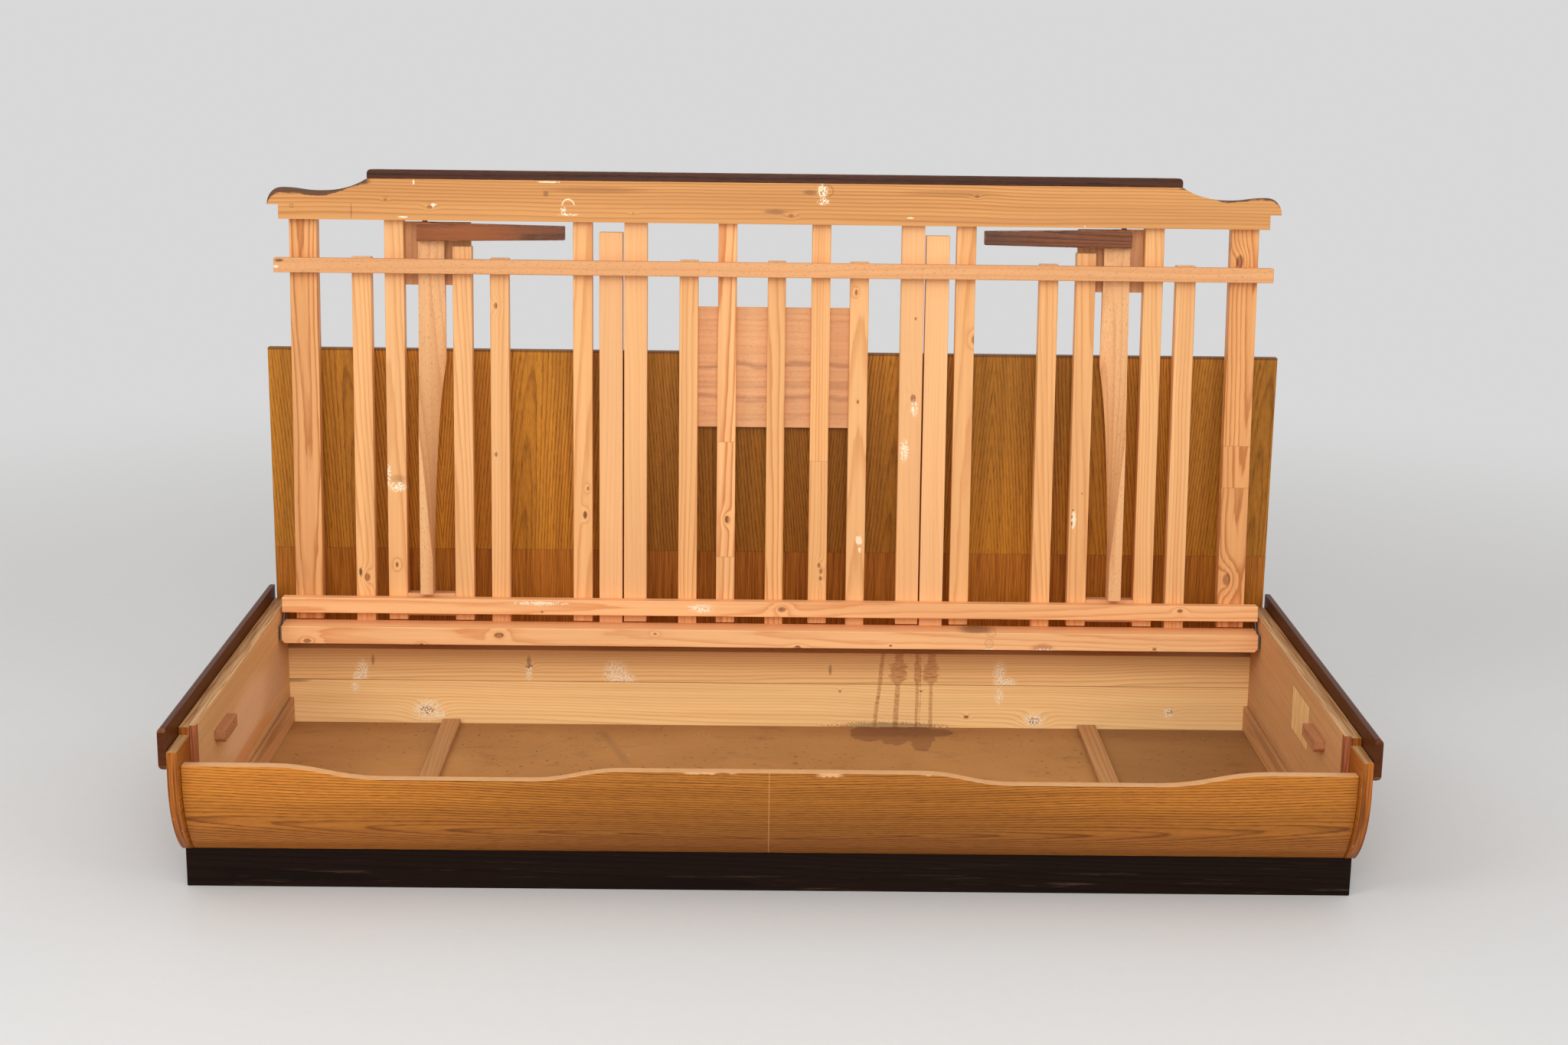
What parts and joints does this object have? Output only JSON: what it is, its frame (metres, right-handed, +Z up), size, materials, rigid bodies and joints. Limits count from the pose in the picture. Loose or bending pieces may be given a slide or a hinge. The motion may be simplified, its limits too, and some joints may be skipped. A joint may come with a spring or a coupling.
{
  "type": "sofa bed",
  "caption": "Wooden sofa bed frame with a storage box, a fold-down slatted back that slides out to double width, and swing-down legs.",
  "frame": {"origin": "on the floor under the middle of the bounding box of the sofa bed with its back raised", "axes": "+X along the bench, +Y from the front to the back, +Z up"},
  "size_m": [2, 0.9254, 1.1314],
  "materials": {
    "dark_stain": "dark mahogany stain, satin varnish",
    "pine": "aged pine with knots, bare",
    "pale_pine": "pale pine with knots, bare",
    "beech": "bare hardwood, smooth",
    "red_hardwood": "reddish hardwood, oiled",
    "oak": "oak veneer, satin",
    "hardboard": "brown hardboard, dusty",
    "plywood": "bare plywood",
    "brown_stain": "brown stained wood, matt",
    "steel": "dull zinc-plated steel"
  },
  "bodies": {
    "base": {"plinth_front": "dark_stain", "plinth_side_left": "dark_stain", "plinth_side_right": "dark_stain", "front_panel": "oak", "side_board_left": "oak", "side_board_right": "oak", "side_lining_left": "pine", "side_lining_right": "pine", "side_cap_left": "dark_stain", "side_cap_right": "dark_stain", "floor_cleat_left": "pale_pine", "floor_cleat_right": "pale_pine", "rest_peg_left": "red_hardwood", "rest_peg_right": "red_hardwood", "floor_batten_left": "pale_pine", "floor_batten_right": "pale_pine", "back_board_lower": "pine", "back_board_upper": "pine", "back_panel": "oak", "floor_panel": "hardboard"},
    "hinged_frame": {"hinged_slat_centre": "pine", "hinged_slat_inner_left": "pine", "hinged_slat_inner_right": "pine", "hinged_slat_long_left": "pine", "hinged_slat_long_right": "pine", "hinged_slat_middle_left": "pine", "hinged_slat_middle_right": "pine", "hinged_slat_outer_left": "pine", "hinged_slat_outer_right": "pine", "rear_rail": "pine", "cross_rail": "beech", "slat_patch": "plywood", "hinge_plate_left": "steel", "hinge_plate_right": "steel"},
    "sliding_frame": {"sliding_slat_inner_left": "pale_pine", "sliding_slat_inner_right": "pale_pine", "sliding_slat_wide_left": "pale_pine", "sliding_slat_wide_right": "pale_pine", "sliding_slat_middle_left": "pale_pine", "sliding_slat_middle_right": "pale_pine", "sliding_slat_cut_left": "pale_pine", "sliding_slat_cut_right": "pale_pine", "sliding_slat_outer_left": "pale_pine", "sliding_slat_outer_right": "pale_pine", "sliding_slat_end_left": "pale_pine", "sliding_slat_end_right": "pale_pine", "sliding_rail": "pine", "front_rail": "pine", "front_facing": "dark_stain", "leg_block_lower_left": "beech", "leg_block_lower_right": "beech", "leg_block_upper_left": "beech", "leg_block_upper_right": "beech", "slat_gusset_left": "plywood", "slat_gusset_right": "plywood"},
    "left_leg": {"leg_arm_left": "beech", "leg_left": "brown_stain"},
    "right_leg": {"leg_arm_right": "beech", "leg_right": "brown_stain"}
  },
  "joints": [
    {"name": "back_fold", "type": "hinge", "parent": "base", "child": "hinged_frame", "pos_m": [0, 0.37731, 0.274], "axis": [1, 0, 0], "range_deg": [0, 94.64]},
    {"name": "pull_out", "type": "slide", "parent": "hinged_frame", "child": "sliding_frame", "axis": [0, 0.0809, 0.9967], "range_m": [0, 0.55]},
    {"name": "leg_swing_left", "type": "hinge", "parent": "sliding_frame", "child": "left_leg", "pos_m": [-0.671, 0.3739, 0.27528], "axis": [0, -0.0809, -0.9967], "range_deg": [0, 90]},
    {"name": "leg_swing_right", "type": "hinge", "parent": "sliding_frame", "child": "right_leg", "pos_m": [0.671, 0.3739, 0.27528], "axis": [0, 0.0809, 0.9967], "range_deg": [0, 90]}
  ],
  "couplings": [
    {"joint": "leg_swing_left", "follows": "pull_out", "rad_per_m": 2.8559},
    {"joint": "leg_swing_right", "follows": "pull_out", "rad_per_m": 2.8559}
  ]
}
